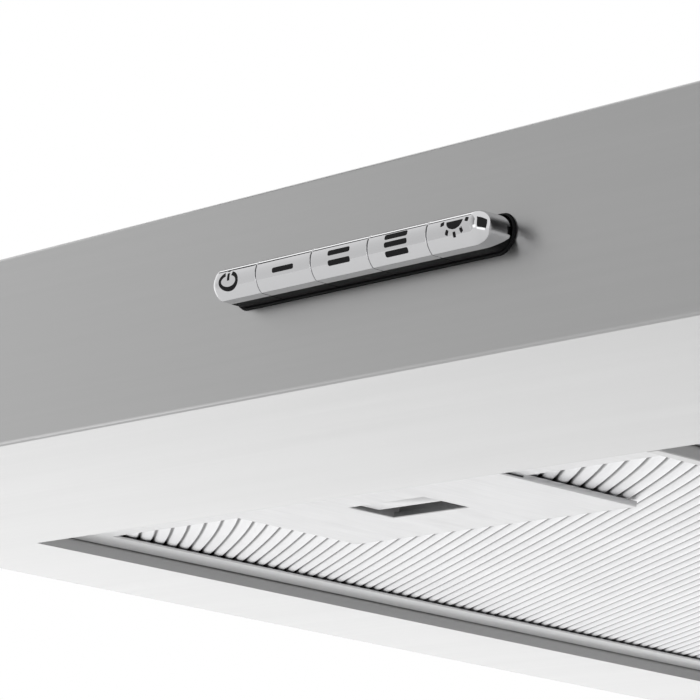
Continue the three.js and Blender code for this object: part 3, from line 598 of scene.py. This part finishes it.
def disc_icon(bm, x, z, half_width, depth, steps=10):
    """Half an oval with its flat side up."""
    rows = []
    for j in range(7):
        level = -depth * 0.985 * j / 6
        half = half_width * math.sqrt(1 - (level / depth) ** 2)
        rows.append([(x - half + 2 * half * i / steps, z + level) for i in range(steps + 1)])
    ink_patch(bm, rows)


def ray_icon(bm, x, z, angle, width=1.15, length=1.45):
    """A short stroke that points away from the lamp."""
    rows = []
    for v in (-0.5, -0.2, 0.2, 0.5):
        row = []
        for u in (-0.5, 0.0, 0.5):
            taper = width * (0.85 if abs(v) == 0.5 else 1.0)
            du, dv = u * taper, v * length
            row.append((x + du * math.cos(angle) - dv * math.sin(angle),
                        z + du * math.sin(angle) + dv * math.cos(angle)))
        rows.append(row)
    ink_patch(bm, rows)


def add_icons():
    """Plain generic symbols: power, one to three bars for the speeds, and a lamp."""
    pitch = (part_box("button_medium")[0].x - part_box("button_low")[0].x) / MM
    level = STRIP_Z - 0.2
    marks = {name: bmesh.new() for name in BUTTONS}
    ring_icon(marks["power"], -2.01 * pitch, level, 4.5, 2.75, 1.2, 22)
    ink_patch(marks["power"], [[(-2.01 * pitch + dx, level + dz) for dx in (-0.55, 0.0, 0.55)]
                               for dz in (0.1, 1.0, 1.9, 2.9)])
    bar_icon(marks["low"], -pitch, level + 0.1)
    for dz in (1.3, -1.4):
        bar_icon(marks["medium"], 0.0, level + dz)
    for dz in (2.05, -0.05, -2.45):
        bar_icon(marks["high"], pitch * 0.985, level + dz)
    lamp_x = pitch * 1.96
    disc_icon(marks["light"], lamp_x, level + 2.3, 3.3, 2.3)
    for dx, dz in ((-4.9, -0.3), (-2.9, -2.8), (0, -3.65), (2.9, -2.8), (4.9, -0.3)):
        ray_icon(marks["light"], lamp_x + dx, level + 2.3 + dz, math.atan2(-dx * 0.5, -dz * 1.0 + 0.2) * -1)
    for name, bm in marks.items():
        made = piece(f"button_{name}_icon", bm, ["button_" + name], material=INK, body="button_" + name)


# Grease filters -------------------------------------------------------------

RIPPLE_ACROSS = 9.6
GROOVE_SAMPLES = [0.0, 0.2, 0.34, 0.42, 0.47, 0.5, 0.53, 0.58, 0.66, 0.8]
GROOVE_WIDTH = 0.075
GROOVE_DEPTH = 0.9


def ripple_shift(y):
    """How far a ripple has moved sideways, in mm, at y mm behind the fascia: the ripples bend gently."""
    settle = 45.0
    start = 130.0
    fall = y - start
    return 2.3 * fall + (0.75 * settle) * math.exp(-max(fall, -60) / settle)


def rippled_sheet(node):
    """A mesh sheet pressed into slanting ripples, with narrow grooves between broad crowns."""
    low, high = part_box(node)
    y0, y1 = (low.y - SHELL_LOW.y) / MM, (high.y - SHELL_LOW.y) / MM
    base = (low.z - SHELL_LOW.z) / MM
    rows = 64
    bm = bmesh.new()
    ys = [y0 + (y1 - y0) * j / rows for j in range(rows + 1)]
    first = math.floor((low.x / MM + min(map(ripple_shift, ys))) / RIPPLE_ACROSS) - 1
    last = math.ceil((high.x / MM + max(map(ripple_shift, ys))) / RIPPLE_ACROSS) + 1
    phases = [n + s for n in range(first, last) for s in GROOVE_SAMPLES]
    grid = []
    for y in ys:
        shift = ripple_shift(y)
        row = []
        for phase in phases:
            x = phase * RIPPLE_ACROSS - shift
            if x < low.x / MM - 2 * RIPPLE_ACROSS or x > high.x / MM + 2 * RIPPLE_ACROSS:
                row.append(None)
                continue
            off = (phase % 1.0) - 0.5
            groove = math.exp(-(off / GROOVE_WIDTH) ** 2 / 2)
            crown_rise = 0.12 * (1 - (2 * off) ** 2)
            row.append(bm.verts.new(at(x, y, base + GROOVE_DEPTH * groove + crown_rise)))
        grid.append(row)
    for a, b in zip(grid, grid[1:]):
        for i in range(len(phases) - 1):
            corners = (a[i], a[i + 1], b[i + 1], b[i])
            if all(corners):
                bm.faces.new(corners)
    for point, normal in ((low, (-1, 0, 0)), (low, (0, -1, 0)), (high, (1, 0, 0)), (high, (0, 1, 0))):
        split(bm, point, normal, clear=True)
    return bm


def solidify(bm, thickness):
    """Gives an open sheet a thickness upwards in mm."""
    bm.normal_update()
    if sum(f.normal.z for f in bm.faces) > 0:
        bmesh.ops.reverse_faces(bm, faces=bm.faces)
    lower = list(bm.faces)
    copied = bmesh.ops.duplicate(bm, geom=list(bm.verts) + list(bm.edges) + lower)
    twins = copied["vert_map"]
    edges = [e for e in bm.edges if e.is_boundary]
    upper = [f for f in copied["geom"] if isinstance(f, bmesh.types.BMFace)]
    moved = [v for v in copied["geom"] if isinstance(v, bmesh.types.BMVert)]
    for v in moved:
        v.co.z += thickness * MM
    bmesh.ops.reverse_faces(bm, faces=upper)
    upper_verts = set(moved)
    for e in edges:
        a, b = e.verts
        if a in upper_verts:
            continue
        bm.faces.new((b, a, twins[a], twins[b]))


def cut_notch(bm, x0, x1, back):
    """Removes the mesh sheet between x0 and x1 in front of y = back."""
    for point, normal in (((x0, 0, 0), (1, 0, 0)), ((x1, 0, 0), (1, 0, 0)), ((0, back, 0), (0, 1, 0))):
        split(bm, point, normal)
    inside = [face for face in bm.faces
              if x0 < face.calc_center_median().x < x1 and face.calc_center_median().y < back]
    bmesh.ops.delete(bm, geom=inside, context="FACES")


NOTCH_BESIDE_TAB = 5.3
NOTCH_BEHIND_TAB = 12.3
FRONT_SHEET = 0.35
REAR_SHEET = 0.3


def add_filters():
    for word in ("left", "right"):
        prefix = f"filter_{word}_"
        tab_low, tab_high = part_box(prefix + "latch_slider")
        bm = rippled_sheet(prefix + "front_mesh")
        cut_notch(bm, tab_low.x - NOTCH_BESIDE_TAB * MM, tab_high.x + NOTCH_BESIDE_TAB * MM,
                  tab_high.y + NOTCH_BEHIND_TAB * MM)
        solidify(bm, FRONT_SHEET)
        piece(prefix + "front_mesh_shape", bm, [prefix + "front_mesh"], sharp=60.0)
        bm = rippled_sheet(prefix + "rear_mesh")
        solidify(bm, REAR_SHEET)
        piece(prefix + "rear_mesh_shape", bm, [prefix + "rear_mesh"], material=REAR_MESH, sharp=60.0)
        bm = node_mesh(prefix + "frame")
        bevel_edges(bm, 0.3 * MM, 2, lambda edge: edge.calc_length() > 0.01)
        piece(prefix + "frame_shape", bm, [prefix + "frame"])
        refined(prefix + "latch_plate", 0.25)
        refined(prefix + "latch_slider", 0.3)


add_camera()
add_canopy()
add_buttons()
add_icons()
add_filters()

DONE = {"canopy_shell"} | {"button_" + name for name in BUTTONS} | {
    f"filter_{word}_{part}" for word in ("left", "right")
    for part in ("frame", "front_mesh", "rear_mesh", "latch_plate", "latch_slider")}
PLAIN_WIDTHS = {
    "top_deck": 0.3, "filter_divider": 0.3, "back_panel": 0.3, "housing_shell": 0.3, "damper_crossbar": 0.25,
    "blower_base": 0.3, "blower_wrapper": 0.3, "blower_top": 0.3, "terminal_box": 0.6,
    "terminal_box_cover": 0.6, "terminal_block": 0.4,
    "control_board": 0.15, "lamp_driver": 1.2, "switch_carrier": 0.4, "switch_board": 0.15,
    "capacitor_clip": 0.2, "gland_nut": 0.4, "fan_motor": 0.5, "motor_shaft": 0.4, "motor_capacitor": 1.0,
    "impeller": 0.1, "strip_bezel": 0.15,
}
for node_name in sorted(set(nodes) - DONE):
    refined(node_name, PLAIN_WIDTHS.get(node_name, 0.2))


# Stage ----------------------------------------------------------------------

FLOOR_DROP = 0.62
TO_THE_RIGHT = Vector((0.605, -0.795, 0.0))


def stage_panel(name, centre, width, height, facing, strength, fall=0.0):
    """A flat card or softbox that faces a point. Its brightness changes by fall per metre to the right."""
    mesh = bpy.data.meshes.new(name)
    w, h = width / 2, height / 2
    mesh.from_pydata([(-w, -h, 0), (w, -h, 0), (w, h, 0), (-w, h, 0)], [], [(0, 1, 2, 3)])
    panel = bpy.data.objects.new(name, mesh)
    bpy.context.scene.collection.objects.link(panel)
    direction = (Vector(facing) - Vector(centre)).to_track_quat("Z", "Y")
    panel.matrix_world = Matrix.Translation(centre) @ direction.to_matrix().to_4x4()
    material = bpy.data.materials.new(name)
    material.use_nodes = True
    nodes_of, links = material.node_tree.nodes, material.node_tree.links
    nodes_of.remove(nodes_of["Principled BSDF"])
    glow = nodes_of.new("ShaderNodeEmission")
    glow.inputs["Strength"].default_value = strength
    if fall:
        place = nodes_of.new("ShaderNodeNewGeometry")
        along = nodes_of.new("ShaderNodeVectorMath")
        along.operation = "DOT_PRODUCT"
        along.inputs[1].default_value = TO_THE_RIGHT
        links.new(place.outputs["Position"], along.inputs[0])
        level = nodes_of.new("ShaderNodeMath")
        level.operation = "MULTIPLY_ADD"
        level.inputs[1].default_value = fall
        level.inputs[2].default_value = strength - fall * Vector(centre).dot(TO_THE_RIGHT)
        links.new(along.outputs["Value"], level.inputs[0])
        links.new(level.outputs[0], glow.inputs["Strength"])
    links.new(glow.outputs[0], nodes_of["Material Output"].inputs["Surface"])
    mesh.materials.append(material)
    panel.visible_camera = False
    panel.visible_diffuse = False
    panel.visible_shadow = False


def add_stage():
    floor_z = SHELL_LOW.z - FLOOR_DROP
    mesh = bpy.data.meshes.new("floor")
    reach = 30
    mesh.from_pydata([(-reach, -reach, floor_z), (reach, -reach, floor_z), (reach, reach, floor_z),
                      (-reach, reach, floor_z)], [], [(0, 1, 2, 3)])
    floor = bpy.data.objects.new("floor", mesh)
    bpy.context.scene.collection.objects.link(floor)
    floor.data.materials.append(Shader("floor", roughness=0.7, colour=(0.86, 0.86, 0.86)).material)
    world = bpy.data.worlds.new("studio")
    world.use_nodes = True
    world.node_tree.nodes["Background"].inputs["Color"].default_value = (1, 1, 1, 1)
    world.node_tree.nodes["Background"].inputs["Strength"].default_value = 1.0
    bpy.context.scene.world = world
    bpy.context.scene.view_settings.view_transform = "Standard"
    stage_panel("grey_panel", (-2.3, -2.0, 0.6), 4.0, 2.6, (0, -0.25, -0.1), 0.80, fall=-0.27)
    stage_panel("low_softbox", (-1.8, 1.6, -0.2), 6.5, 2.2, (0, 0, -0.12), 1.85)
    stage_panel("dark_card", (-1.72, -0.78, 1.15), 0.5, 0.45, (0, -0.25, -0.1), 0.02)
    stage_panel("top_card", (-1.85, 0.12, 1.42), 1.2, 0.9, (0, -0.25, -0.1), 1.45)
    stage_panel("front_card", (-0.55, -2.2, 0.0), 1.2, 0.8, (0, -0.25, -0.1), 1.6)
    stage_panel("right_flag", (1.7, -2.0, 1.0), 3.4, 3.0, (0, -0.25, -0.1), 0.03)
    stage_panel("low_card", (1.3, -1.9, -0.5), 2.4, 0.5, (0, -0.25, -0.1), 1.6)


add_stage()
